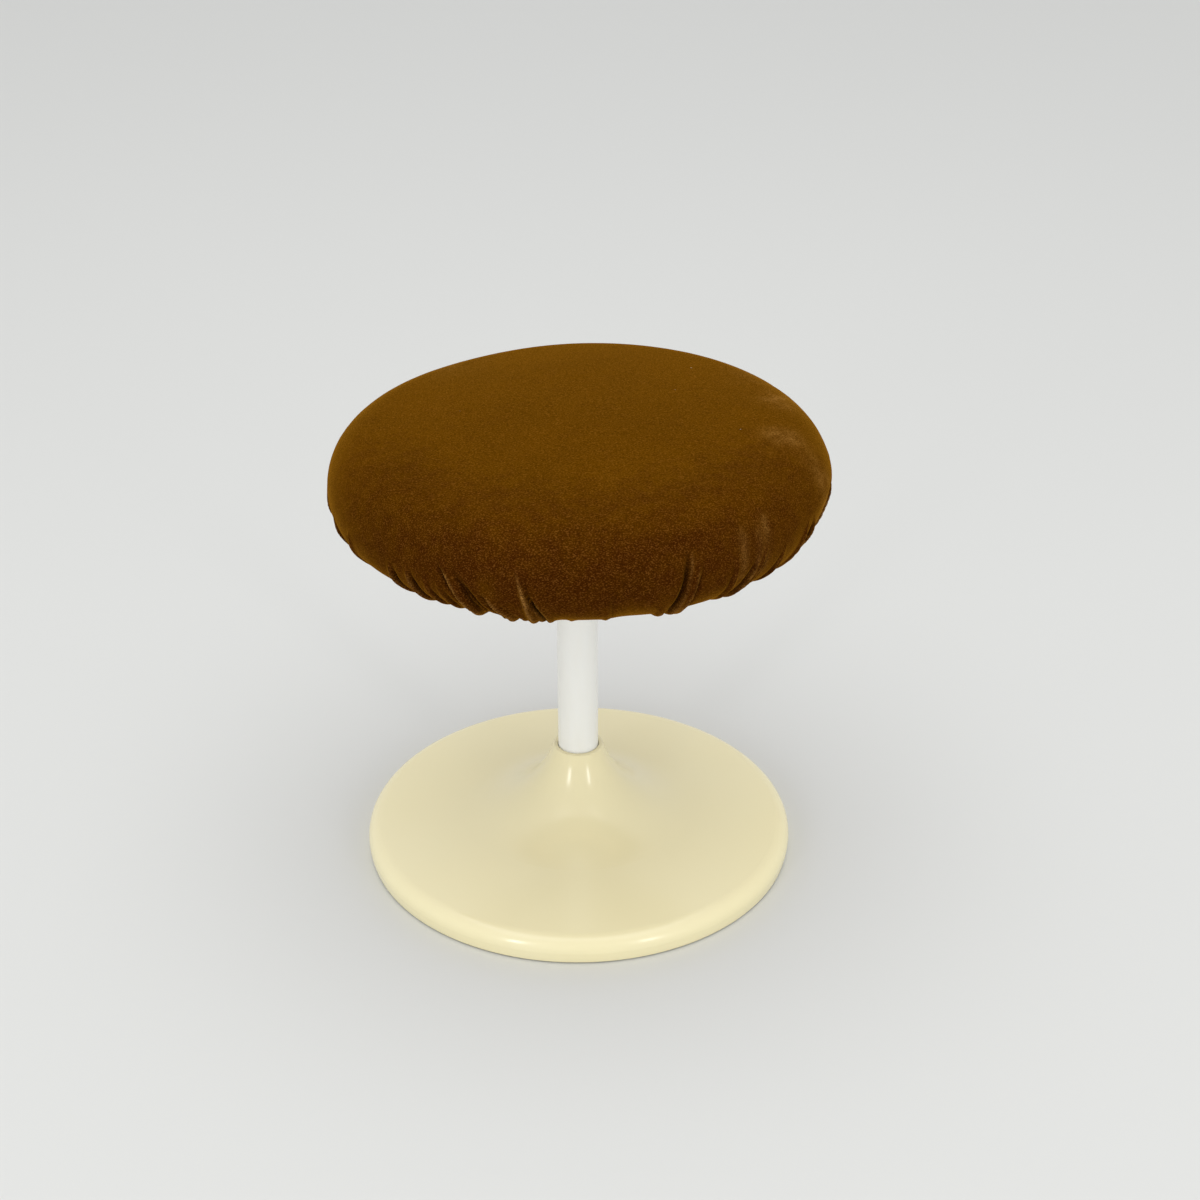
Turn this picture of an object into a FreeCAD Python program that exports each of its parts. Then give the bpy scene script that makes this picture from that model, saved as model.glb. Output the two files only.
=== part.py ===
import FreeCAD, Part
import math
import os

# A round upholstered stool that turns on a trumpet-shaped foot.
# Millimetres, +Z up. The origin is on the floor at the middle of the foot.

# Foot, outside
base_radius = 187.5
rim_lift = 1.5
rim_widest = 10.5
rim_tuck = 1.2
shoulder_radius = 13.0
cone_slope = 5.05
flare_slope = 75.0
hub_top = 96.4
hub_radius = 22.0
lip_radius = 1.8

# Foot, inside
cover_wall = 3.0
hub_collar = 8.0
hole_gap = 0.5
plate_gap = 0.6
plate_thickness = 4.0
pad_height = 3.5
pad_radius = 12.0
pad_margin = 5.6
pad_chamfer = 0.6
pad_count = 6
flange_radius = 45.0
flange_thickness = 6.0
flange_recess = 3.0
weld_leg = 3.0

# Column and its bearings
tube_radius = 17.5
tube_wall = 2.0
tube_top = 300.0
spindle_radius = 10.0
bush_length = 25.0
bush_flange = 3.0
bush_chamfer = 1.0
lower_bush_base = 215.0
thrust_thickness = 1.5
collar_height = 9.2
collar_step = 0.5

# Seat
seat_radius = 204.5
side_radius = 43.5
crown_swell = 10.8
skin = 2.0
board_thickness = 15.0
board_setback = 30.5
bevel_height = 10.0
seat_plate_radius = 80.0
seat_plate_thickness = 3.0
hem_reach = 39.0
elastic_radius = 2.0
hem_wall = 1.2

# Fasteners
flange_screw_radius = 3.0
flange_screw_head = 6.0
flange_screw_length = 9.5
flange_screw_socket = 4.0
flange_screw_count = 4
cover_screw_radius = 2.1
cover_screw_head = 4.0
cover_screw_length = 14.0
cover_screw_slot = 1.2
cover_screw_inset = 24.5
cover_screw_count = 4
boss_wall = 3.0
head_land = 0.4
socket_depth = 2.0
screw_tip = 0.8
plate_screw_radius = 3.0
plate_screw_head_width = 10.0
plate_screw_head_height = 4.0
plate_screw_length = 18.0
plate_screw_inset = 20.0
plate_screw_count = 4
washer_radius = 6.2
washer_thickness = 1.6
nut_barrel_radius = 4.2
nut_barrel_length = 9.0
nut_flange_radius = 9.5
nut_flange_thickness = 1.2
prong_length = 5.0
prong_width = 2.4
prong_inset = 2.0
prong_count = 3
retaining_screw_radius = 4.0
retaining_screw_length = 18.0
retaining_head_width = 13.0
retaining_head_height = 5.3
tapped_depth = 24.0
spring_washer_radius = 7.0
spring_washer_thickness = 2.0
spring_washer_split = 1.2

# Clearances and the overrun of every cut
running_fit = 0.06
fixed_fit = 0.1
thread_fit = 0.1
end_play = 0.3
soft_ease = 0.3
overrun = 1.0

# Angles in degrees
quarter_turn = 90
half_turn = 180
full_turn = 360
hexagon_sides = 6

# Heights that follow
plate_base = pad_height
plate_top = plate_base + plate_thickness
flange_top = plate_top + flange_thickness
tube_base = flange_top - flange_recess
bush_top = tube_top + bush_flange
collar_base = bush_top + thrust_thickness
collar_top = collar_base + collar_height
board_base = collar_top + seat_plate_thickness
board_top = board_base + board_thickness
seat_widest = board_base - skin + side_radius
crown_rise = side_radius + crown_swell
crown_top = seat_widest + crown_rise
spindle_base = lower_bush_base - end_play

# Radii that follow
tube_bore = tube_radius - tube_wall
bush_bore = spindle_radius + running_fit
bush_outside = tube_bore - fixed_fit
hub_hole = tube_radius + hole_gap
collar_radius = tube_radius - collar_step
weld_radius = tube_radius + fixed_fit + weld_leg
flange_screw_circle = (weld_radius + flange_radius) / 2
cover_screw_circle = base_radius - shoulder_radius - cover_screw_inset
plate_screw_circle = seat_plate_radius - plate_screw_inset
side_centre = seat_radius - side_radius
board_radius = seat_radius - board_setback
hem_radius = side_centre - hem_reach

upright = FreeCAD.Vector(0, 0, 1)
middle = FreeCAD.Vector(0, 0, 0)


def at(radius, height):
    return FreeCAD.Vector(radius, 0, height)


def line(start, end):
    return Part.LineSegment(start, end).toShape()


def on_circle(centre, radius, degrees):
    angle = math.radians(degrees)
    return at(centre.x + radius * math.cos(angle), centre.z + radius * math.sin(angle))


def arc(centre, radius, start, end):
    ends = [on_circle(centre, radius, degrees) for degrees in (start, (start + end) / 2, end)]
    return Part.Arc(*ends).toShape()


def turned(edges):
    # The edges follow each other round one closed outline, which turns about the upright axis.
    face = Part.Face(Part.Wire(edges))
    return face.revolve(middle, upright, full_turn)


def turned_points(points):
    closed = points + points[:1]
    return turned([line(start, end) for start, end in zip(closed, closed[1:])])


def cylinder(radius, base, top, centre_x=0):
    return Part.makeCylinder(radius, top - base, FreeCAD.Vector(centre_x, 0, base), upright)


def ring(inner, outer, base, top):
    return turned_points([at(inner, base), at(outer, base), at(outer, top), at(inner, top)])


def around(shape, count, first=0):
    # Copies of a shape, evenly spaced about the upright axis.
    copies = []
    for number in range(count):
        copy = shape.copy()
        copy.rotate(middle, upright, first + number * full_turn / count)
        copies.append(copy)
    return copies


def hexagon(width, base, height):
    corner = width / 2 / math.cos(math.pi / hexagon_sides)
    corners = []
    for number in range(hexagon_sides + 1):
        angle = number * 2 * math.pi / hexagon_sides
        corners.append(FreeCAD.Vector(corner * math.cos(angle), corner * math.sin(angle), base))
    return Part.Face(Part.makePolygon(corners)).extrude(upright * height)


def moved(shape, distance, height=0):
    shape.translate(FreeCAD.Vector(distance, 0, height))
    return shape


# Trumpet cover

lip_angle = math.radians(flare_slope)
cone_angle = math.radians(cone_slope)
flare_end = at(hub_radius, hub_top - lip_radius * (1 - math.cos(lip_angle)))
shoulder_centre = at(base_radius - shoulder_radius, rim_widest)
skirt_height = rim_widest - rim_lift
skirt_radius = (skirt_height**2 + rim_tuck**2) / (2 * rim_tuck)
skirt_centre = at(base_radius - skirt_radius, rim_widest)

# The flare's radius is the one that meets the cone and the hub smoothly.
cone_normal = at(math.sin(cone_angle), math.cos(cone_angle))
flare_drop = (flare_end - shoulder_centre).dot(cone_normal) - shoulder_radius
flare_radius = flare_drop / (1 - math.cos(lip_angle - cone_angle))
flare_centre = flare_end + at(math.sin(lip_angle), math.cos(lip_angle)) * flare_radius


def cover_curve(inset, top):
    # Rim to hub, at a depth below the outer surface, up to a height.
    skirt = skirt_radius - inset
    shoulder = shoulder_radius - inset
    flare = flare_radius + inset
    skirt_start = -math.degrees(math.asin(skirt_height / skirt))
    cone_direction = quarter_turn - cone_slope
    flare_start = half_turn + cone_direction
    flare_stop = half_turn + math.degrees(math.asin((flare_centre.z - top) / flare))
    return [
        arc(skirt_centre, skirt, skirt_start, 0),
        arc(shoulder_centre, shoulder, 0, cone_direction),
        line(
            on_circle(shoulder_centre, shoulder, cone_direction),
            on_circle(flare_centre, flare, flare_start),
        ),
        arc(flare_centre, flare, flare_start, flare_stop),
    ]


def curve_ends(edges):
    return edges[0].Vertexes[0].Point, edges[-1].Vertexes[-1].Point


collar_bottom = hub_top - hub_collar
outer_curve = cover_curve(0, flare_end.z)
inner_curve = cover_curve(cover_wall, collar_bottom)
outer_edge, outer_top = curve_ends(outer_curve)
inner_edge, inner_top = curve_ends(inner_curve)
plate_radius = inner_edge.x - plate_gap
pad_circle = plate_radius - pad_radius - pad_margin


def screw_boss():
    # The boss stands on the plate and ends half way into the wall above it.
    middle_curve = cover_curve(cover_wall / 2, collar_bottom)
    edge, top = curve_ends(middle_curve)
    body = turned(
        middle_curve
        + [
            line(top, at(0, collar_bottom)),
            line(at(0, collar_bottom), at(0, rim_lift)),
            line(at(0, rim_lift), edge),
        ]
    )
    boss_radius = cover_screw_radius + boss_wall
    return cylinder(boss_radius, plate_top, hub_top, cover_screw_circle).common(body)


def trumpet_cover():
    lip_centre = flare_end - at(math.sin(lip_angle), math.cos(lip_angle)) * lip_radius
    edge_radius = lip_radius / 2
    edge_centre = at(hub_hole + edge_radius, hub_top - edge_radius)
    outline = [
        line(inner_edge, outer_edge),
        *outer_curve,
        arc(lip_centre, lip_radius, quarter_turn - flare_slope, quarter_turn),
        line(at(lip_centre.x, hub_top), at(edge_centre.x, hub_top)),
        arc(edge_centre, edge_radius, quarter_turn, half_turn),
        line(at(hub_hole, edge_centre.z), at(hub_hole, collar_bottom)),
        line(at(hub_hole, collar_bottom), inner_top),
        *reversed(inner_curve),
    ]
    cover = turned(outline).fuse(around(screw_boss(), cover_screw_count, half_turn / cover_screw_count))
    tip = plate_base + cover_screw_length + thread_fit
    pilot = cylinder(cover_screw_radius + thread_fit, plate_base, tip, cover_screw_circle)
    return cover.cut(around(pilot, cover_screw_count, half_turn / cover_screw_count))


# Foot plate, pads and screws


def countersunk(radius, head, length, growth):
    # A screw, or with growth the space for one, whose head's flat end is at height zero.
    cone_end = head_land + head - radius
    return turned_points(
        [
            at(0, 0),
            at(head + growth, 0),
            at(head + growth, head_land),
            at(radius + growth, cone_end),
            at(radius + growth, length - screw_tip),
            at(radius + growth - screw_tip, length),
            at(0, length),
        ]
    )


def base_plate():
    plate = ring(tube_bore + hole_gap, plate_radius, plate_base, plate_top)
    flange_hole = moved(
        countersunk(flange_screw_radius, flange_screw_head, flange_screw_length, fixed_fit),
        flange_screw_circle,
        plate_base,
    )
    cover_hole = moved(
        countersunk(cover_screw_radius, cover_screw_head, cover_screw_length, fixed_fit),
        cover_screw_circle,
        plate_base,
    )
    plate = plate.cut(around(flange_hole, flange_screw_count))
    return plate.cut(around(cover_hole, cover_screw_count, half_turn / cover_screw_count))


def floor_pads():
    pad = turned_points(
        [
            at(0, 0),
            at(pad_radius - pad_chamfer, 0),
            at(pad_radius, pad_chamfer),
            at(pad_radius, pad_height),
            at(0, pad_height),
        ]
    )
    return Part.makeCompound(around(moved(pad, pad_circle), pad_count))


def flange_screws():
    screw = countersunk(flange_screw_radius, flange_screw_head, flange_screw_length, 0)
    socket = hexagon(flange_screw_socket, -overrun, overrun + socket_depth)
    screw = moved(screw.cut(socket), flange_screw_circle, plate_base)
    return Part.makeCompound(around(screw, flange_screw_count))


def cover_screws():
    screw = countersunk(cover_screw_radius, cover_screw_head, cover_screw_length, 0)
    slot_length = cover_screw_head
    for size_x, size_y in ((slot_length, cover_screw_slot), (cover_screw_slot, slot_length)):
        corner = FreeCAD.Vector(-size_x / 2, -size_y / 2, -overrun)
        screw = screw.cut(Part.makeBox(size_x, size_y, overrun + socket_depth, corner))
    screw = moved(screw, cover_screw_circle, plate_base)
    return Part.makeCompound(around(screw, cover_screw_count, half_turn / cover_screw_count))


# Column


def column_flange():
    # The tube stands in a recess, with a weld round it.
    recess_radius = tube_radius + fixed_fit
    flange = turned_points(
        [
            at(tube_bore, plate_top),
            at(flange_radius, plate_top),
            at(flange_radius, flange_top),
            at(weld_radius, flange_top),
            at(recess_radius, flange_top + weld_leg),
            at(recess_radius, tube_base),
            at(tube_bore, tube_base),
        ]
    )
    thread = cylinder(
        flange_screw_radius + thread_fit,
        plate_top - overrun,
        flange_top + overrun,
        flange_screw_circle,
    )
    return flange.cut(around(thread, flange_screw_count))


def column_tube():
    return ring(tube_bore, tube_radius, tube_base, tube_top)


def bush_outline(base, top):
    return [
        at(bush_bore + bush_chamfer, base),
        at(bush_outside - bush_chamfer, base),
        at(bush_outside, base + bush_chamfer),
        at(bush_outside, top),
        at(bush_bore, top),
        at(bush_bore, base + bush_chamfer),
    ]


def upper_bush():
    body = turned_points(bush_outline(tube_top - bush_length, tube_top))
    return body.fuse(ring(bush_bore, tube_radius, tube_top, bush_top)).removeSplitter()


def lower_bush():
    return turned_points(bush_outline(lower_bush_base, lower_bush_base + bush_length))


def thrust_washer():
    return ring(spindle_radius + end_play, tube_radius, bush_top, collar_base)


# Spindle and what holds it down


def seat_spindle():
    # The collar is welded to the seat plate above it.
    spindle = turned_points(
        [
            at(0, spindle_base),
            at(spindle_radius - screw_tip, spindle_base),
            at(spindle_radius, spindle_base + screw_tip),
            at(spindle_radius, collar_base),
            at(collar_radius, collar_base),
            at(collar_radius, collar_top - weld_leg),
            at(collar_radius + weld_leg, collar_top),
            at(0, collar_top),
        ]
    )
    tapped_radius = retaining_screw_radius + thread_fit
    return spindle.cut(
        cylinder(tapped_radius, spindle_base - overrun, spindle_base + tapped_depth)
    )


retaining_washer_radius = (spindle_radius + tube_bore) / 2
retaining_washer_base = spindle_base - washer_thickness
spring_washer_base = retaining_washer_base - spring_washer_thickness


def retaining_washer():
    hole = retaining_screw_radius + thread_fit
    return ring(hole, retaining_washer_radius, retaining_washer_base, spindle_base)


def retaining_lock_washer():
    hole = retaining_screw_radius + thread_fit
    washer = ring(hole, spring_washer_radius, spring_washer_base, retaining_washer_base)
    split = Part.makeBox(
        spring_washer_radius + overrun,
        spring_washer_split,
        spring_washer_thickness + 2 * overrun,
        FreeCAD.Vector(0, -spring_washer_split / 2, spring_washer_base - overrun),
    )
    return washer.cut(split)


def hexagon_screw(radius, head_width, head_height, length):
    # The head's upper face is at height zero, and the shank points up.
    shank = turned_points(
        [
            at(0, -head_height / 2),
            at(radius, -head_height / 2),
            at(radius, length - screw_tip),
            at(radius - screw_tip, length),
            at(0, length),
        ]
    )
    return hexagon(head_width, -head_height, head_height).fuse(shank).removeSplitter()


def retaining_screw():
    screw = hexagon_screw(
        retaining_screw_radius,
        retaining_head_width,
        retaining_head_height,
        retaining_screw_length + washer_thickness + spring_washer_thickness,
    )
    return moved(screw, 0, spring_washer_base)


# Seat plate and its screws


def seat_plate():
    plate = cylinder(seat_plate_radius, collar_top, board_base)
    hole = cylinder(
        plate_screw_radius + fixed_fit,
        collar_top - overrun,
        board_base + overrun,
        plate_screw_circle,
    )
    return plate.cut(around(hole, plate_screw_count, half_turn / plate_screw_count))


def plate_washers():
    washer = ring(
        plate_screw_radius + fixed_fit, washer_radius, collar_top - washer_thickness, collar_top
    )
    washer = moved(washer, plate_screw_circle)
    return Part.makeCompound(around(washer, plate_screw_count, half_turn / plate_screw_count))


def plate_screws():
    screw = hexagon_screw(
        plate_screw_radius,
        plate_screw_head_width,
        plate_screw_head_height,
        plate_screw_length,
    )
    screw = moved(screw, plate_screw_circle, collar_top - washer_thickness)
    return Part.makeCompound(around(screw, plate_screw_count, half_turn / plate_screw_count))


def tee_nut(growth):
    # A nut, or with growth the space for one, with its flange level with the board's top.
    flange_base = board_top - nut_flange_thickness
    barrel_base = board_top - nut_barrel_length
    nut = cylinder(nut_flange_radius + growth, flange_base, board_top)
    nut = nut.fuse(cylinder(nut_barrel_radius + growth, barrel_base, board_top))
    width = prong_width + 2 * growth
    depth = nut_flange_thickness + 2 * growth
    prong = Part.makeBox(
        depth,
        width,
        prong_length + nut_flange_thickness + growth,
        FreeCAD.Vector(
            nut_flange_radius - prong_inset - depth / 2,
            -width / 2,
            board_top - nut_flange_thickness - prong_length - growth,
        ),
    )
    return nut.fuse(around(prong, prong_count)).removeSplitter()


def tee_nuts():
    thread = cylinder(
        plate_screw_radius + thread_fit,
        board_base,
        board_top + overrun,
    )
    nut = moved(tee_nut(0).cut(thread), plate_screw_circle)
    return Part.makeCompound(around(nut, plate_screw_count, half_turn / plate_screw_count))


# Seat board and upholstery


def board_body(growth):
    # The lower edge is bevelled, so that the cushion can roll in under it.
    return turned_points(
        [
            at(0, board_base - growth),
            at(side_centre - soft_ease + growth, board_base - growth),
            at(side_centre - soft_ease + growth, board_base),
            at(board_radius + growth, board_base + bevel_height),
            at(board_radius + growth, board_top),
            at(0, board_top),
        ]
    )


def seat_board():
    board = turned_points(
        [
            at(0, board_base),
            at(side_centre - soft_ease, board_base),
            at(board_radius, board_base + bevel_height),
            at(board_radius, board_top),
            at(0, board_top),
        ]
    )
    hole = cylinder(nut_barrel_radius + fixed_fit, board_base - overrun, board_top + overrun)
    space = moved(tee_nut(fixed_fit).fuse(hole), plate_screw_circle)
    return board.cut(around(space, plate_screw_count, half_turn / plate_screw_count))


def cushion_curve(inset):
    # Crown to underside, at a depth below the velvet's outer surface. The crown is one wide
    # arc, which runs smoothly into the arc of the side.
    crown_radius = (side_centre**2 + crown_rise**2 - side_radius**2) / (2 * crown_swell)
    crown_centre = at(0, crown_top - crown_radius)
    roll_centre = at(side_centre, seat_widest)
    direction = roll_centre - crown_centre
    joint = math.degrees(math.atan2(direction.z, direction.x))
    return [
        arc(crown_centre, crown_radius - inset, quarter_turn, joint),
        arc(roll_centre, side_radius - inset, joint, 0),
        arc(roll_centre, side_radius - inset, 0, -quarter_turn),
    ]


def cushion_body(inset):
    base = seat_widest - side_radius + inset
    return turned(
        cushion_curve(inset)
        + [
            line(at(side_centre, base), at(0, base)),
            line(at(0, base), at(0, crown_top - inset)),
        ]
    )


def foam_pad():
    return cushion_body(skin + soft_ease).cut(board_body(soft_ease))


def hem_ring(radius):
    height = board_base - elastic_radius - soft_ease - hem_wall
    return Part.makeTorus(hem_radius, radius, at(0, height), upright)


def velvet_cover():
    # A skin over the cushion, open under the board, with a hem round the opening.
    opening = cylinder(hem_radius, board_base - skin - overrun, board_base + overrun)
    cover = cushion_body(0).cut(cushion_body(skin)).cut(opening)
    hem = hem_ring(elastic_radius + soft_ease + hem_wall)
    return cover.fuse(hem).cut(hem_ring(elastic_radius + soft_ease))


def elastic_cord():
    return hem_ring(elastic_radius)


pieces = (
    floor_pads,
    base_plate,
    cover_screws,
    trumpet_cover,
    column_flange,
    flange_screws,
    column_tube,
    upper_bush,
    lower_bush,
    thrust_washer,
    seat_spindle,
    retaining_washer,
    retaining_lock_washer,
    retaining_screw,
    seat_plate,
    plate_washers,
    plate_screws,
    tee_nuts,
    seat_board,
    foam_pad,
    velvet_cover,
    elastic_cord,
)

os.makedirs("parts", exist_ok=True)
for piece in pieces:
    shape = piece()
    print(piece.__name__, len(shape.Solids), "solid", round(shape.Volume), "mm3", shape.isValid())
    shape.exportStep("parts/" + piece.__name__ + ".step")
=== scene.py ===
import math
import random

import bpy
import numpy as np
from mathutils import Matrix, Vector


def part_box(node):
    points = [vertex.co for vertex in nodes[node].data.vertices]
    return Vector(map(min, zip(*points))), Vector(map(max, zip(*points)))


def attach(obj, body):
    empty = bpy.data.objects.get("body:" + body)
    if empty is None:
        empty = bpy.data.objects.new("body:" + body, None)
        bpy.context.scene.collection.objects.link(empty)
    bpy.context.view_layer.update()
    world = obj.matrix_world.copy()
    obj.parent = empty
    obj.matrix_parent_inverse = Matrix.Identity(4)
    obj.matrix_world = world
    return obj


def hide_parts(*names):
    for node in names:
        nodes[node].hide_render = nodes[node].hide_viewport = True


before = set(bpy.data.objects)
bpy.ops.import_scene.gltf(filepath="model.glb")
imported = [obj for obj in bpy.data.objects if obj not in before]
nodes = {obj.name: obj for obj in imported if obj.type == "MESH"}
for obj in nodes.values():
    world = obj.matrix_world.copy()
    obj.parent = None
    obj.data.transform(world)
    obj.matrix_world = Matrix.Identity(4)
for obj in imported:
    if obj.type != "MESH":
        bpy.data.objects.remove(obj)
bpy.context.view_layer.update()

mm = 0.001


# Helpers for materials

def linear(hexColour):
    # sRGB hex to the linear colour that a shader takes
    parts = [int(hexColour[i:i + 2], 16) / 255 for i in (1, 3, 5)]
    return tuple(c / 12.92 if c <= 0.04045 else ((c + 0.055) / 1.055) ** 2.4 for c in parts) + (1.0,)


def newMaterial(name):
    material = bpy.data.materials.new(name)
    material.use_nodes = True
    material.node_tree.nodes.clear()
    return material, material.node_tree


def addNode(tree, kind, inputs=None, **settings):
    # One node with its settings; an input is a value, or another node's output to link
    made = tree.nodes.new(kind)
    for name, value in settings.items():
        setattr(made, name, value)
    for name, value in (inputs or {}).items():
        if isinstance(value, bpy.types.NodeSocket):
            tree.links.new(value, made.inputs[name])
        else:
            made.inputs[name].default_value = value
    return made


def noise(tree, place, size, detail, **more):
    # Noise with features of a size in millimetres
    inputs = {"Vector": place, "Scale": 1 / (size * mm), "Detail": detail, **more}
    return addNode(tree, "ShaderNodeTexNoise", inputs).outputs["Fac"]


# Ends between which most of a noise lies, for ranged() below
wide = (0.3, 0.7)
middle = (0.35, 0.65)


def cells(tree, place, size):
    return addNode(tree, "ShaderNodeTexVoronoi", {"Vector": place, "Scale": 1 / (size * mm)})


def stretched(tree, place, *scale):
    return addNode(tree, "ShaderNodeMapping", {"Vector": place, "Scale": scale}).outputs["Vector"]


def heightOf(tree, place):
    return addNode(tree, "ShaderNodeSeparateXYZ", {0: place}).outputs["Z"]


def ranged(tree, value, low, high, first=0.0, last=1.0):
    # A value that runs from low to high, made to run from first to last
    ends = {"From Min": low, "From Max": high, "To Min": first, "To Max": last}
    return addNode(tree, "ShaderNodeMapRange", {"Value": value, **ends}).outputs["Result"]


def maths(tree, operation, *values, **settings):
    inputs = dict(enumerate(values))
    return addNode(tree, "ShaderNodeMath", inputs, operation=operation, **settings).outputs["Value"]


def blend(tree, share, first, second):
    # Two colours mixed; a colour is a hex value or another node's output
    first, second = [linear(colour) if isinstance(colour, str) else colour for colour in (first, second)]
    return addNode(tree, "ShaderNodeMix", {0: share, 6: first, 7: second}, data_type="RGBA").outputs[2]


def coat(tree, colour, roughness, relief, depth, **more):
    # The surface itself, with a relief of a depth in millimetres
    bump = addNode(tree, "ShaderNodeBump", {"Height": relief, "Distance": depth * mm, "Strength": 1.0})
    shader = addNode(tree, "ShaderNodeBsdfPrincipled", {
        "Base Color": colour, "Roughness": roughness, "Normal": bump.outputs["Normal"], **more})
    addNode(tree, "ShaderNodeOutputMaterial", {"Surface": shader.outputs["BSDF"]})


def dress(material, *nodeNames):
    for name in nodeNames:
        mesh = nodes[name].data
        mesh.materials.clear()
        mesh.materials.append(material)


def addPiece(name, mesh, material):
    piece = bpy.data.objects.new(name, mesh)
    bpy.context.scene.collection.objects.link(piece)
    mesh.materials.append(material)
    mesh.polygons.foreach_set("use_smooth", [True] * len(mesh.polygons))
    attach(piece, "seat")
    return piece


# Meshes of revolution whose rings may differ in how many points they have

def stitchRings(name, rings):
    # Neighbouring rings have as many points, twice or half as many, or one point
    starts = np.cumsum([0] + [len(ring) for ring in rings])
    faces = []
    for index in range(len(rings) - 1):
        a, b = starts[index], starts[index + 1]
        na, nb = len(rings[index]), len(rings[index + 1])
        here = np.arange(min(na, nb) if min(na, nb) > 1 else max(na, nb))
        after = (here + 1) % len(here)
        if na == nb:
            parts = [(a + here, b + here, b + after, a + after)]
        elif na == 1:
            parts = [(a + 0 * here, b + here, b + after)]
        elif nb == 1:
            parts = [(a + here, b + 0 * here, a + after)]
        elif nb == 2 * na:
            parts = [(a + here, b + 2 * here, b + 2 * here + 1),
                     (a + here, b + 2 * here + 1, a + after),
                     (a + after, b + 2 * here + 1, b + 2 * after)]
        else:
            parts = [(a + 2 * here, b + here, a + 2 * here + 1),
                     (a + 2 * here + 1, b + here, b + after),
                     (a + 2 * here + 1, b + after, a + 2 * after)]
        for part in parts:
            faces += np.stack(part, axis=1).tolist()
    mesh = bpy.data.meshes.new(name)
    mesh.from_pydata((np.concatenate(rings) * mm).tolist(), [], faces)
    mesh.update()
    return mesh


def smooth(low, high, value):
    t = np.clip((value - low) / (high - low), 0.0, 1.0)
    return t * t * (3 - 2 * t)


# Floor, light and camera

stage = {
    "floorColour": "#d9dad8",
    "floorHalfSide": 9.0,
    "floorRoughness": 0.6,
    "worldColour": "#ffffff",
    "worldStrength": 0.83,
    "softBoxes": [
        # place and size in metres, power in watts
        {"name": "leftWindow", "place": (-1.57, -2.61, 1.07), "size": (0.34, 0.9), "power": 11},
        {"name": "rightWindow", "place": (1.71, -2.54, 1.02), "size": (0.34, 0.9), "power": 10},
        {"name": "ceiling", "place": (0.0, -0.3, 3.0), "size": (3.4, 3.0), "power": 28},
    ],
    "aim": (0, 0, 0.1),
}


def buildStage():
    half = stage["floorHalfSide"]
    mesh = bpy.data.meshes.new("floor")
    corners = [(-half, -half, 0), (half, -half, 0), (half, half, 0), (-half, half, 0)]
    mesh.from_pydata(corners, [], [(0, 1, 2, 3)])
    floor = bpy.data.objects.new("floor", mesh)
    bpy.context.scene.collection.objects.link(floor)
    material, tree = newMaterial("painted screed")
    shader = addNode(tree, "ShaderNodeBsdfPrincipled", {
        "Base Color": linear(stage["floorColour"]), "Roughness": stage["floorRoughness"]})
    addNode(tree, "ShaderNodeOutputMaterial", {"Surface": shader.outputs["BSDF"]})
    floor.data.materials.append(material)

    world = bpy.data.worlds.new("studio")
    world.use_nodes = True
    background = world.node_tree.nodes["Background"]
    background.inputs["Color"].default_value = linear(stage["worldColour"])
    background.inputs["Strength"].default_value = stage["worldStrength"]
    bpy.context.scene.world = world

    for box in stage["softBoxes"]:
        lamp = bpy.data.lights.new(box["name"], "AREA")
        lamp.shape = "RECTANGLE"
        lamp.size, lamp.size_y = box["size"]
        lamp.energy = box["power"]
        holder = bpy.data.objects.new(box["name"], lamp)
        holder.location = box["place"]
        aim = Vector(stage["aim"]) - Vector(box["place"])
        holder.rotation_euler = aim.to_track_quat("-Z", "Y").to_euler()
        holder.visible_camera = False
        bpy.context.scene.collection.objects.link(holder)


photoCamera = {
    "place": (0, -1.4877, 1.0373),
    "pitchDown": 0.493,
    "roll": -0.007,
    "lens": 60,
    "sensor": 36,
    "shiftX": 0.019,
}


def buildCamera():
    data = bpy.data.cameras.new("photoCamera")
    data.lens = photoCamera["lens"]
    data.sensor_width = photoCamera["sensor"]
    data.shift_x = photoCamera["shiftX"]
    holder = bpy.data.objects.new("photoCamera", data)
    turn = Matrix.Rotation(math.pi / 2 - photoCamera["pitchDown"], 4, "X")
    lean = Matrix.Rotation(photoCamera["roll"], 4, "Z")
    holder.matrix_world = Matrix.Translation(photoCamera["place"]) @ turn @ lean
    bpy.context.scene.collection.objects.link(holder)
    bpy.context.scene.camera = holder


# Velvet: short cotton pile on a woven ground. Nearly matt, with a golden bloom from the sheen at low angles.
# Its front is painted darker and reddish as shade, and its crown, sides and back are painted lighter and
# golden. Its fold hollows are painted almost black. Crests and places rubbed by hands are paler with wear,
# and the crests also carry a painted highlight

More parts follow.
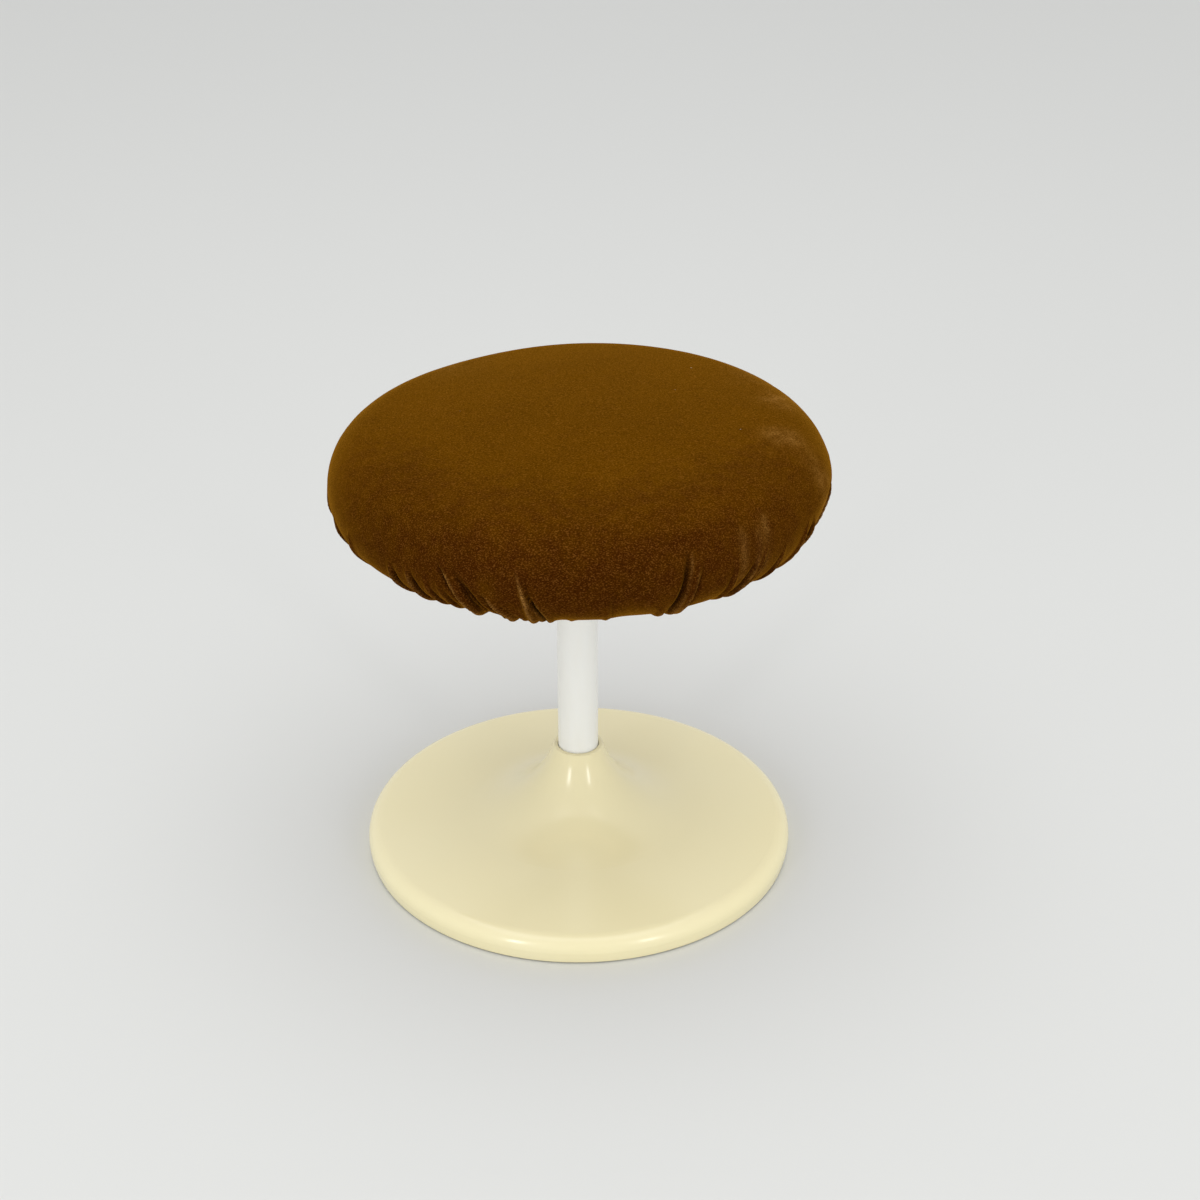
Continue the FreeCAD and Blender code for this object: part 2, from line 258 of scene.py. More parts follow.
velvetLook = {
    "litColour": "#5a3601",         # painted light, on the crown, the sides and the back
    "upright": "#401e02",      # painted shade, on the front and on faces turned towards it
    "tips": "#8b5c28",         # ends of single tufts
    "wornAndCrestLit": "#9f7238",         # crests, worn and with a painted highlight, and rubbed places
    "lint": "#b9a68c",
    "bloom": "#dc9c30",
    "bloomWeight": 0.5,
    "bloomRoughness": 0.28,
    "roughness": 0.9,
    "tuft": 0.85,              # mm; the real tufts are 0.3 mm, drawn coarser so that they show
    "alongRows": 0.6,          # tufts run together along the rows of the weave, left to right
    "patch": 13.0,             # mm, places where the pile has been brushed another way
    "stroke": 60.0,            # mm, how far the pile's lie stays alike
    "lintSpacing": 16.0,       # mm
    "lintRadiusShare": 0.035,  # of the spacing
    "lintShare": 0.15,         # of the cells hold a speck
    "grainDepth": 0.25,        # mm
    # ranges: from and to which value of a noise or attribute, and what it becomes there
    "patchShift": middle + (-0.12, 0.24),
    "lie": wide + (0.93, 1.05),
    "grain": wide + (0.62, 1.26),
    "creaseShading": (0.0, 1.0, 1.0, 0.16),
    "tipHere": (0.54, 0.68),
    "tipShare": (0.0, 1.0, 0.3, 0.26),
    "rubbed": (0.38, 0.62, 0.2, 1.0),
    "blotches": (0.4, 0.62, 0.35, 1.3),
}


def velvetMaterial():
    look = velvetLook
    material, tree = newMaterial("cotton velvet")
    place = addNode(tree, "ShaderNodeTexCoord").outputs["Object"]
    paintedLight, wornAndCrestLit, hollow = [addNode(tree, "ShaderNodeAttribute", attribute_name=name).outputs["Fac"]
                         for name in ("paintedLight", "wornAndCrestLit", "hollow")]
    strokes = noise(tree, place, look["stroke"], detail=2.0)
    patches = noise(tree, place, look["patch"], detail=3.0, Roughness=0.6)
    rows = stretched(tree, place, look["alongRows"], 1.0, 1.0)
    tufts = noise(tree, rows, look["tuft"], detail=1.0, Roughness=0.6)

    # painted light on the crown, sides and back, painted shade on the front, in brushed patches
    lightAndBrushing = maths(tree, "ADD", paintedLight, ranged(tree, patches, *look["patchShift"]), use_clamp=True)
    pile = blend(tree, lightAndBrushing, look["upright"], look["litColour"])

    # hollows of the folds, painted almost black as shade
    lieAndGrain = maths(
        tree, "MULTIPLY", ranged(tree, strokes, *look["lie"]), ranged(tree, tufts, *look["grain"]))
    creaseShading = ranged(tree, hollow, *look["creaseShading"])
    shade = maths(tree, "MULTIPLY", lieAndGrain, creaseShading)
    shaded = addNode(tree, "ShaderNodeVectorMath", {0: pile, "Scale": shade}, operation="SCALE")

    # pale tips, plainest on the painted front shade, dimmed in the painted shade of the hollows
    tipHere = ranged(tree, tufts, *look["tipHere"])
    tipped = maths(tree, "MULTIPLY", tipHere, ranged(tree, lightAndBrushing, *look["tipShare"]))
    tipsLit = maths(tree, "MULTIPLY", tipped, creaseShading)
    grained = blend(tree, tipsLit, shaded.outputs["Vector"], look["tips"])

    # rubbed places, worn paler, and crests, paler with wear and a painted highlight, broken up by the tufts
    # and in blotches
    rubbed = ranged(tree, tufts, *look["rubbed"])
    rubbedHere = maths(tree, "MULTIPLY", rubbed, ranged(tree, patches, *look["blotches"]))
    fadedAndCrestLit = blend(tree, maths(tree, "MULTIPLY", wornAndCrestLit, rubbedHere, use_clamp=True), grained, look["wornAndCrestLit"])

    # a little lint
    specks = cells(tree, place, look["lintSpacing"])
    near = maths(tree, "LESS_THAN", specks.outputs["Distance"], look["lintRadiusShare"])
    chosen = addNode(tree, "ShaderNodeSeparateColor", {0: specks.outputs["Color"]})
    few = maths(tree, "LESS_THAN", chosen.outputs["Red"], look["lintShare"])
    colour = blend(tree, maths(tree, "MULTIPLY", near, few), fadedAndCrestLit, look["lint"])
    coat(tree, colour, look["roughness"], tufts, look["grainDepth"], **{
        "Specular IOR Level": 0.0, "Sheen Weight": look["bloomWeight"],
        "Sheen Roughness": look["bloomRoughness"], "Sheen Tint": linear(look["bloom"])})
    return material


# ABS, injection moulded: an even gloss with a faint mould ripple, yellowed a little unevenly

absLook = {
    "pale": "#f4ebc2",
    "yellowed": "#f2e7b8",
    "roughness": (0.15, 0.24),
    "patch": 120.0,            # mm
    "smear": 35.0,             # mm
    "ripple": 9.0,             # mm
    "rippleDepth": 0.006,      # mm
    "ior": 1.54,
}


def absMaterial():
    look = absLook
    material, tree = newMaterial("moulded ABS")
    place = addNode(tree, "ShaderNodeTexCoord").outputs["Object"]
    patches = noise(tree, place, look["patch"], detail=1.0)
    colour = blend(tree, patches, look["pale"], look["yellowed"])
    smears = noise(tree, place, look["smear"], detail=4.0)
    roughness = ranged(tree, smears, *wide, *look["roughness"])
    ripple = noise(tree, place, look["ripple"], detail=0.0)
    coat(tree, colour, roughness, ripple, look["rippleDepth"], IOR=look["ior"])
    return material


# Lacquered steel tube: sprayed white lacquer, a soft gloss with a fine orange peel

tubeLook = {
    "white": "#f3f5f4",
    "aged": "#f1f1ec",
    "roughness": 0.25,
    "streak": 9.0,             # mm across; streaks run down the tube
    "streakDensity": 0.15,     # along the tube, of that across it
    "peel": 2.5,               # mm
    "peelDepth": 0.004,        # mm
    "ior": 1.5,
}


def tubeMaterial():
    look = tubeLook
    material, tree = newMaterial("white lacquered steel")
    place = addNode(tree, "ShaderNodeTexCoord").outputs["Object"]
    long = stretched(tree, place, 1.0, 1.0, look["streakDensity"])
    streaks = noise(tree, long, look["streak"], detail=2.0)
    colour = blend(tree, streaks, look["white"], look["aged"])
    peel = noise(tree, place, look["peel"], detail=1.0)
    coat(tree, colour, look["roughness"], peel, look["peelDepth"], IOR=look["ior"])
    return material


# Velvet seat cover

seatCover = {
    # lengths in millimetres, angles in degrees
    "sideRadius": 43.5,
    "skin": 2.0,
    "thickness": 1.3,
    "hemTube": 3.4,
    "hemGap": 0.8,                    # between the casing and the cloth that runs into it
    "hemTurns": 16,
    "hemTurnShares": (0.55, -1.25),   # of half a turn, where the casing starts and ends
    "hemBulge": (0.35, -1, 2),        # share of the gathers that the casing follows, and its limits
    "columns": 640,
    "ringStep": 3.0,
    "looseFrom": 138.0,
    "crownStep": 5.5,
    "crownColumns": (1.25, 15),       # least spacing of the crown's points, and fewest round a ring
    "pressure": 4.0,
    "cap": 5.0,
    "frames": 20,
    "cloth": {"quality": 5, "mass": 0.01, "air_damping": 3, "tension_stiffness": 15,
              "compression_stiffness": 15, "shear_stiffness": 5, "bending_stiffness": 0.3},
    "heldRings": 3,                   # at the crown's edge
    "settlesFrom": (-80, -15),        # degrees below the widest line
    "seed": 7,
    "shadedBelow": (401.5, 408.0),   # heights below which the front is painted in shade, fading out between them
    # how far the cloth between the folds stands off the pad: round the side, below, at the bottom
    "puff": (0.3, 0.9, 0.7),
    # degrees below the widest line between which each of these sets in, and where all ease off
    "puffFrom": ((-25, 20), (8, 52), (45, 75)),
    "puffEases": (92, 125, 0.75),
    # the simulated cloth: width of crests and hollows, and the share of each that it takes
    "broad": (2.2, 3.4),
    "broadShares": (0.4, 0.5),
    # the finer grid: width of crests, what they gain towards the hem, and width of hollows
    "sharp": (1.1, 1.2, 1.9),
    "sharpShares": (0.4, 0.45),       # crests at their start, and what they gain round the side
    "sharpGrow": (-10, 30),
    "hollowShares": (0.85, 0.5),      # round the side, and underneath
    "underneath": 70,
    "rounder": (34, 62),
    "boardGap": 0.2,
    "boardFrom": 75,
    # the photographed folds: azimuth at the top end, how far below the widest line that end is
    # (degrees), azimuth further down, height of the crest, then how far beside it its hollow lies
    # (left is negative) and how deep that is
    "frontFolds": [
        (-134.9, 2, -135.6, 2.2, 3.6, 2.2),
        (-130.2, 0, -128.6, 2.6, 3.4, 2.4),
        (-125.6, 8, -123.6, 1.6, 3.0, 1.4),
        (-122.4, 6, -119.6, 1.5, 3.0, 1.2),
        (-121.3, -16, -114.4, 3.4, -3.6, 3.6),
        (-118.4, -14, -113.0, 0.0, 0.0, 2.0),
        (-117.2, -8, -111.4, 0.0, 0.0, 2.2),
        (-113.6, 18, -107.8, 0.0, 0.0, 2.0),
        (-112.4, 8, -105.6, 3.2, -3.8, 2.6),
        (-108.4, 42, -107.4, 2.6, 0.0, 0.0),
        (-107.6, 24, -102.6, 1.8, -3.4, 1.4),
        (-104.1, -24, -100.4, 3.0, 3.4, 0.8),
        (-102.6, 8, -98.3, 1.6, 0.0, 0.0),
        (-101.2, 4, -96.5, 2.3, -2.8, 4.2),
        (-84.3, 0, -83.2, 1.1, 3.0, 0.6),
        (-73.0, 34, -70.2, 2.4, -3.6, 1.2),
        (-65.2, -32, -67.0, 2.2, -3.4, 2.2),
        (-63.8, -14, -65.5, 2.6, 3.0, 1.2),
        (-54.2, -6, -54.0, 1.4, -3.4, 0.7),
        (-47.2, -2, -50.2, 2.4, -3.0, 1.5),
        (-44.8, -8, -48.6, 1.4, 3.2, 0.7),
        (-38.6, 8, -39.6, 1.8, -3.2, 1.0),
    ],
    # broad dips: azimuth, degrees below the widest line, width and length in mm, depth
    "dips": [(-110.0, 12, 6.0, 11.0, 1.4), (-78.5, 50, 14.0, 22.0, 1.6)],
    # how every fold runs, in degrees below the widest line: it has turned to its lower azimuth at
    # the first, or this far below its top end; then where its crest and its hollow grow from there
    "foldEnd": (60, 20),
    "foldBend": 1.6,
    "crestGrows": (-4, 24),
    "crestRound": 0.6,
    "hollowGrows": (2, 34),
    "hollowEases": (46, 66, 0.8),     # all but the short folds at the hem, which start below 50
    "hemFoldsFrom": 50,
    "slackLost": (0.3, 0.9),          # for each mm of hollow, and at most
    "slackReach": 2.0,
    # seeded folds: where they lie, how far apart, where they start, their height, how far they lean,
    # how far beside the crest the hollow lies, and its depth as a share of the height
    "otherFolds": (-31.0, 220.0),
    "otherFoldStep": (5.0, 12.0),
    "otherFoldTops": (-16, -6, 0, 6, 12, 20, 30),
    "otherFoldHeight": (1.2, 3.2),
    "otherFoldLean": (-5.0, 5.0),
    "otherHollowBeside": (3.0, 5.0),
    "otherHollowShare": 0.9,
    "hemFolds": (-180.0, 177.0),
    "hemFoldStep": (3.6, 6.5),
    "hemFoldTop": (58.0, 84.0),
    "hemFoldHeight": (1.2, 2.4),
    "hemHollowBeside": 3.2,
    "hemHollowShare": 0.8,
    # pile: heights and depths in mm at which the crests' wear and painted highlight, the painted shade in
    # the hollows and the painted light in the dips are full
    "fullyWornAndLit": 3.0,
    "fullyShaded": 2.6,
    "fullyLitDip": 2.5,
    "crestWearAndLightShares": (0.8, 0.4),         # on sharp crests, and what rounder ones lose
    # painted front shade: how far to the front, how much turned towards it, the share of the first, and how
    # much of it the dips lose
    "forward": (-0.05, 0.6),
    "steep": (0.3, 1.0),
    "forwardShare": 0.52,
    "litDipShare": 0.8,
    # where hands have rubbed the pile: azimuth, distance from the middle, size, strength
    "rubbed": [(-13.0, 168.0, 14.0, 0.5), (12.0, 172.0, 16.0, 0.4), (-45.5, 201.0, 4.0, 0.25),
               (-48.0, 205.0, 4.0, 0.2), (-52.5, 204.0, 4.5, 0.22), (-18.0, 204.0, 14.0, 0.3),
               (30.0, 190.0, 30.0, 0.2), (130.0, 185.0, 34.0, 0.15)],
}


def coverOutline():
    # The cushion's outline as a function of the distance along it from the middle of the crown:
    # radius, height, how far it has turned over, and the same in degrees below the widest line
    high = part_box("velvet_cover")[1]
    side = seatCover["sideRadius"]
    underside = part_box("seat_board")[0].z / mm - seatCover["skin"]
    top = high.z / mm
    sideCentre = high.x / mm - side
    widest = underside + side
    rise = top - widest
    crown = (sideCentre ** 2 + rise ** 2 - side ** 2) / (2 * (rise - side))
    joint = math.atan2(sideCentre, widest - (top - crown))
    crownLength = crown * joint
    sideLength = side * (math.pi - joint)

    def outline(along):
        onCrown = along / crown
        onSide = joint + (along - crownLength) / side
        under = along - crownLength - sideLength
        where = [along < crownLength, along < crownLength + sideLength]
        crownRadius, sideOut = crown * np.sin(onCrown), sideCentre + side * np.sin(onSide)
        crownHeight, sideHeight = top - crown + crown * np.cos(onCrown), widest + side * np.cos(onSide)
        radius = np.select(where, [crownRadius, sideOut], sideCentre - under)
        height = np.select(where, [crownHeight, sideHeight], underside)
        turn = np.select(where, [onCrown, onSide], math.pi)
        below = np.degrees(turn) - 90 + np.maximum(under, 0)
        return radius, height, turn, below

    hemLow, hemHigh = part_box("elastic_cord")
    hemHeight = (hemLow.z + hemHigh.z) / 2 / mm
    hemRadius = hemHigh.x / mm - (hemHigh.z - hemLow.z) / 2 / mm
    total = crownLength + sideLength + sideCentre - hemRadius - seatCover["hemTube"] - seatCover["hemGap"]
    return outline, total, hemRadius, hemHeight


def foldTable():
    # The photographed folds at the front, seeded ones elsewhere, and short ones at the hem
    made = seatCover
    dice = random.Random(made["seed"])
    folds = list(made["frontFolds"])
    place, end = made["otherFolds"]
    while place < end:
        top = dice.choice(made["otherFoldTops"])
        height = dice.uniform(*made["otherFoldHeight"])
        side = dice.choice((-1, 1))
        topPlace = place + dice.uniform(*made["otherFoldLean"])
        beside = side * dice.uniform(*made["otherHollowBeside"])
        folds.append((topPlace, top, place, height, beside, height * made["otherHollowShare"]))
        place += dice.uniform(*made["otherFoldStep"])
    place, end = made["hemFolds"]
    while place < end:
        height = dice.uniform(*made["hemFoldHeight"])
        beside = dice.choice((-1, 1)) * made["hemHollowBeside"]
        top = dice.uniform(*made["hemFoldTop"])
        folds.append((place, top, place, height, beside, height * made["hemHollowShare"]))
        place += dice.uniform(*made["hemFoldStep"])
    return folds


def foldRelief(folds, angle, below, radius, crestWidth, hollowWidth):
    # Crests, the hollows beside them, broad dips, and how slack the cloth is between folds (1 is slack)
    made = seatCover
    endsAt, endsBelow = made["foldEnd"]
    crestStart, crestFull = made["crestGrows"]
    hollowStart, hollowFull = made["hollowGrows"]
    easeStart, easeEnd, easeShare = made["hollowEases"]
    slackRate, slackMost = made["slackLost"]
    crests = np.zeros_like(angle)
    hollows = np.zeros_like(angle)
    dips = np.zeros_like(angle)
    slack = np.ones_like(angle)
    for topAngle, top, lowAngle, height, offset, depth in folds:
        end = max(endsAt, top + endsBelow)
        # a little over 1 above the top end, so that the fold runs on in its direction there
        left = np.clip((end - below) / (end - top), 0, 1.2)
        turned = angle - lowAngle - (topAngle - lowAngle) * left ** made["foldBend"]
        across = np.radians((turned + 180) % 360 - 180) * radius
        ridge = np.exp(made["crestRound"] - np.hypot(across / crestWidth, made["crestRound"]))
        crests += smooth(top + crestStart, top + crestFull, below) * height * ridge
        fade = smooth(top + hollowStart, top + hollowFull, below)
        if top < made["hemFoldsFrom"]:
            fade = fade * (1 - easeShare * smooth(easeStart, easeEnd, below))
        beside = (across - offset) / hollowWidth
        hollows += fade * depth * np.exp(-beside ** 2)
        slack *= 1 - min(slackMost, slackRate * depth) * fade * np.exp(-np.abs(beside) / made["slackReach"])
    for azimuth, level, width, length, depth in made["dips"]:
        across = np.radians((angle - azimuth + 180) % 360 - 180) * radius / width
        dips += depth * np.exp(-across ** 2 - ((below - level) / length) ** 2)
    return crests, hollows, dips, slack


def looseGrid(outline, along, angles):
    radius, height, turn, below = [np.repeat(part[:, None], angles.size, 1) for part in outline(along)]
    return np.repeat(angles[None, :], along.size, 0), radius, height, turn, below


def settleCloth(points, held, ease):
    # Air pressure rounds the cloth between its folds; the crown's edge and the hem are held
    rings, columns = points.shape[:2]
    mesh = stitchRings("loose cloth", list(points))
    cloth = bpy.data.objects.new("loose cloth", mesh)
    bpy.context.scene.collection.objects.link(cloth)
    group = cloth.vertex_groups.new(name="held")
    group.add([int(i) for i in np.flatnonzero(np.repeat(held, columns))], 1.0, "REPLACE")
    modifier = cloth.modifiers.new("cloth", "CLOTH")
    settings = modifier.settings
    for name, value in seatCover["cloth"].items():
        setattr(settings, name, value)
    settings.vertex_group_mass = "held"
    settings.effector_weights.gravity = 0
    settings.use_pressure = True
    settings.uniform_pressure_force = seatCover["pressure"]
    modifier.collision_settings.use_collision = False
    modifier.point_cache.frame_start = 1
    modifier.point_cache.frame_end = seatCover["frames"]
    for step in range(1, seatCover["frames"] + 1):
        bpy.context.scene.frame_set(step)
    settled = cloth.evaluated_get(bpy.context.evaluated_depsgraph_get())
    found = np.zeros(rings * columns * 3)
    settled.data.vertices.foreach_get("co", found)
    bpy.context.scene.frame_set(1)
    bpy.data.objects.remove(cloth)
    bpy.data.meshes.remove(mesh)
    moved = found.reshape(points.shape) / mm - points
    distance = np.linalg.norm(moved, axis=2, keepdims=True)
    print("cloth moved by", round(float(distance.mean()), 2), "mm, at most", round(float(distance.max()), 2))
    return points + ease[..., None] * moved * np.minimum(1.0, seatCover["cap"] / np.maximum(distance, 1e-9))


def finerGrid(points):
    # Twice the columns and rings, by smooth cubic steps between the old ones
    before, after, further = [np.roll(points, shift, axis=1) for shift in (1, -1, -2)]
    between = (9 * (points + after) - before - further) / 16
    wide = np.stack([points, between], axis=2).reshape(points.shape[0], -1, 3)
    ends = np.concatenate([2 * wide[:1] - wide[1:2], wide, 2 * wide[-1:] - wide[-2:-1]])
    between = (9 * (ends[1:-2] + ends[2:-1]) - ends[:-3] - ends[3:]) / 16
    tall = np.empty((2 * wide.shape[0] - 1,) + wide.shape[1:])
    tall[0::2] = wide
    tall[1::2] = between
    return tall


def gridNormals(points):
    downward = np.gradient(points, axis=0)
    sideways = np.roll(points, -1, axis=1) - np.roll(points, 1, axis=1)
    normal = np.cross(downward, sideways)
    return normal / np.maximum(np.linalg.norm(normal, axis=2, keepdims=True), 1e-12)


def polar(radius, theta, height):
    return np.stack([radius * np.cos(theta), radius * np.sin(theta), height + 0 * theta], axis=-1)


# How the cover sits on the pad, in millimetres and radians. It is pulled over to the right, fuller at
# its right front and at the back and a little flatter at its left back, as photographed
pull = {
    "heights": (318, 356),            # the pull sets in between these
    "shift": 2.4,
    "shiftEnds": (-60, 170),          # from left to right
    "cornerAt": (-0.28, 366),         # azimuth and height of the fuller place
    "cornerSize": (0.3, 16),
    "corner": 3.2,
    "slope": 0.018,                   # rise for each mm to the right
    "backLift": 2.2,
    "backFrom": (40, 180),
    "flatAt": 2.15,
    "flatSize": 0.4,
    "flatFrom": (70, 180),            # from the middle outwards
    "flatDrop": 2.2,
}


def pulledOver(points):
    x, y, z = points[..., 0], points[..., 1], points[..., 2]
    high = smooth(*pull["heights"], z)
    theta = np.arctan2(y, x)
    azimuth, level = pull["cornerAt"]
    width, length = pull["cornerSize"]
    corner = np.exp(-((theta - azimuth) / width) ** 2) * np.exp(-((z - level) / length) ** 2)
    flatter = np.exp(-((theta - pull["flatAt"]) / pull["flatSize"]) ** 2)
    flatter = flatter * smooth(*pull["flatFrom"], np.hypot(x, y))
    back = pull["backLift"] * smooth(*pull["backFrom"], y)
    moved = points.copy()
    moved[..., 0] = x + high * pull["shift"] * (1 - smooth(*pull["shiftEnds"], x)) + pull["corner"] * corner
    moved[..., 2] = z + high * (pull["slope"] * x + back - pull["flatDrop"] * flatter)
    return moved


# A ring of points with no wear, painted highlight, painted shade or painted light on its pile
def evenPile(ring):
    # A ring of points where the pile is neither worn, opened nor pressed
    return (ring,) + (np.zeros(len(ring)),) * 3


def buildSeatCover():
    made = seatCover
    outline, total, hemRadius, hemHeight = coverOutline()
    folds = foldTable()

    # Loose cloth, from the crown's edge to the hem, with its broad folds
    rings = round((total - made["looseFrom"]) / made["ringStep"])
    along = np.linspace(made["looseFrom"], total, rings + 1)
    angles = np.linspace(-180, 180, made["columns"], endpoint=False)
    angle, radius, height, turn, below = looseGrid(outline, along, angles)
    crests, hollows, dips, slack = foldRelief(folds, angle, below, radius, *made["broad"])
    standOff = sum(puff * smooth(*ends, below) for puff, ends in zip(made["puff"], made["puffFrom"]))
    easeStart, easeEnd, easeShare = made["puffEases"]
    standOff = standOff * (1 - easeShare * smooth(easeStart, easeEnd, below))
    crestShare, hollowShare = made["broadShares"]
    proud = standOff * slack + crestShare * crests - hollowShare * hollows - dips
    points = polar(radius + np.sin(turn) * proud, np.radians(angle), height + np.cos(turn) * proud)
    held = np.zeros(along.size, bool)
    held[:made["heldRings"]] = True
    held[-1] = True
    points = settleCloth(points, held, smooth(*made["settlesFrom"], below))

    # Finer grid, with the sharp crests and hollows on it. They grow rounder towards the hem
    points = finerGrid(points)
    fineAlong = np.linspace(along[0], along[-1], points.shape[0])
    fineAngles = np.linspace(-180, 180, points.shape[1], endpoint=False)
    angle, radius, _, _, below = looseGrid(outline, fineAlong, fineAngles)
    rounder = smooth(*made["rounder"], below)
    crestWidth, widthGain, hollowWidth = made["sharp"]
    crests, hollows, dips, _ = foldRelief(
        folds, angle, below, radius, crestWidth + widthGain * rounder, hollowWidth)
    startShare, shareGain = made["sharpShares"]
    crestShare = startShare + shareGain * smooth(*made["sharpGrow"], below)
    sideShare, underShare = made["hollowShares"]
    hollowShare = np.where(below > made["underneath"], underShare, sideShare)
    points = points + gridNormals(points) * (crestShare * crests - hollowShare * hollows)[..., None]
    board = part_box("seat_board")[0].z / mm - made["thickness"] - made["boardGap"]
    onBoard = below > made["boardFrom"]
    points[..., 2] = np.where(onBoard, np.minimum(points[..., 2], board), points[..., 2])
    theta = np.radians(fineAngles)
    # crests paler, with wear and a painted highlight
    crestWearAndLightShare, crestWearAndLightLoss = made["crestWearAndLightShares"]
    wornAndCrestLit = np.clip((crests / made["fullyWornAndLit"]) ** 3, 0, 1) * (crestWearAndLightShare - crestWearAndLightLoss * rounder)
    # hollows painted dark as shade
    creaseShading = np.clip(hollows / made["fullyShaded"], 0, 1)
    # dips painted lighter, kept out of the painted front shade
    litDip = np.clip(dips / made["fullyLitDip"], 0, 1)
    fine = list(zip(points, wornAndCrestLit, creaseShading, litDip))

    # Crown, with fewer columns towards its middle
    crown = []
    columns = theta.size // 2
    distance = made["looseFrom"] - made["crownStep"]
    spacing, fewest = made["crownColumns"]
    while distance > made["crownStep"]:
        if 2 * math.pi * distance / columns < spacing and columns > fewest:
            columns //= 2
        around = np.radians(np.linspace(-180, 180, columns, endpoint=False))
        r, h = outline(np.array([distance]))[:2]
        crown.append(evenPile(polar(r[0], around, h[0])))
        distance -= made["crownStep"]
    top = outline(np.array([0.0]))[1][0]
    crown.append(evenPile(np.array([[0.0, 0.0, top]])))
    crown = crown[::-1]

    # Casing round the elastic
    hem = []
    followed, least, most = made["hemBulge"]
    gather = np.clip(points[-1, :, 2].mean() - points[-1, :, 2], least, most)
    startShare, endShare = made["hemTurnShares"]
    for turnAt in np.linspace(startShare * math.pi, endShare * math.pi, made["hemTurns"]):
        bulge = made["hemTube"] + followed * gather * max(0.0, math.cos(turnAt))
        ring = polar(hemRadius + bulge * math.sin(turnAt), theta, hemHeight - bulge * math.cos(turnAt))
        hem.append(evenPile(ring))

    # Inner face, coarser
    inner = points - gridNormals(points) * made["thickness"]
    inner = [evenPile(ring[::2]) for ring in inner[::-4]]
    lining = [evenPile(part[0] - [0, 0, made["thickness"]]) for part in crown[::-1]]
    shell = crown + fine + hem + inner + lining
    mesh = stitchRings("velvet seat cover", [pulledOver(part[0]) for part in shell])

    # How worn the pile is, and where it carries a painted highlight, painted shade or painted light
    places, wornAndCrestLit, hollow, litDip = [np.concatenate(parts) for parts in zip(*shell)]
    for azimuth, out, size, strength in made["rubbed"]:
        centre = polar(out, np.radians(azimuth), 0)[:2]
        away = np.linalg.norm(places[:, :2] - centre, axis=1)
        wornAndCrestLit += strength * np.exp(-(away / size) ** 2)
    # painted light and shade: below the crown's top the front and the faces turned to it are painted darker,
    # less so in the dips, and the rest is painted lighter
    forward = -places[:, 1] / np.maximum(np.linalg.norm(places[:, :2], axis=1), 1.0)
    normals = np.zeros(places.size)
    mesh.vertices.foreach_get("normal", normals)
    steep = smooth(*made["steep"], -normals.reshape(-1, 3)[:, 1])
    rim = 1 - smooth(*made["shadedBelow"], places[:, 2])
    share = made["forwardShare"]
    upright = share * smooth(*made["forward"], forward) + (1 - share) * steep
    paintedLight = 1 - rim * upright * (1 - made["litDipShare"] * litDip)
    for name, values in (("wornAndCrestLit", wornAndCrestLit), ("hollow", hollow), ("paintedLight", paintedLight)):
        mesh.attributes.new(name, "FLOAT", "POINT").data.foreach_set("value", values)
    return mesh


foamPad = {
    "setIn": (3.5, 8.0),     # mm inside the cover's outline, at the crown and at the sides
    "setInFrom": (-75, -20), # degrees below the widest line between which it goes over
    "endsBelow": 56,         # degrees below the widest line
    "columns": 96,
    "step": 6.0,
    "clear": 0.4,            # from the board
    "bevel": 11.0,
    "lidShares": (1.0, 0.8, 0.55, 0.3),   # of the board's radius, rings of the face on the board
}


def buildFoamPad():
    # A crowned pad that wraps the board's edge down to its bevel
    outline, total = coverOutline()[:2]
    low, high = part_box("seat_board")
    theta = np.linspace(0, 2 * math.pi, foamPad["columns"], endpoint=False)
    crownIn, sideIn = foamPad["setIn"]
    rings = []
    for distance in np.arange(foamPad["step"], total, foamPad["step"] / 2):
        radius, height, turn, below = [float(part[0]) for part in outline(np.array([distance]))]
        if below > foamPad["endsBelow"]:
            break
        setIn = crownIn + (sideIn - crownIn) * float(smooth(*foamPad["setInFrom"], below))
        ring = polar(radius - math.sin(turn) * setIn, theta, height - math.cos(turn) * setIn)
        rings.append(pulledOver(ring))
    edge, top = high.x / mm + foamPad["clear"], high.z / mm + foamPad["clear"]
    rings.append(polar(edge, theta, low.z / mm + foamPad["bevel"]))
    for share in foamPad["lidShares"]:
        rings.append(polar(edge * share, theta, top))
    crest = np.array([[0, 0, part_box("velvet_cover")[1].z / mm - crownIn]])
    return stitchRings("foam pad", [crest] + rings + [np.array([[0, 0, top]])])


# Foam: moulded polyurethane with open cells, dull and slightly yellowed

foamLook = {
    "fresh": "#dccb9c",
    "aged": "#c9b27a",
    "cell": 1.6,               # mm
    "cellDepth": 0.5,          # mm
    "roughness": 0.95,
}


def foamMaterial():
    look = foamLook
    material, tree = newMaterial("polyurethane foam")
    place = addNode(tree, "ShaderNodeTexCoord").outputs["Object"]
    pores = cells(tree, place, look["cell"]).outputs["Distance"]
    colour = blend(tree, pores, look["aged"], look["fresh"])
    coat(tree, colour, look["roughness"], pores, look["cellDepth"])
    return material


# Black lacquered steel: sprayed and baked, half gloss, with orange peel and a film of dust

blackLook = {
    "black": "#171718",
    "dust": "#4a4743",
    "roughness": (0.3, 0.52),
    "dustPatch": 34.0,         # mm
    "dusty": (0.48, 0.75, 0.0, 0.6),
    "peel": 1.6,               # mm
    "peelDepth": 0.012,        # mm
    "ior": 1.5,
}


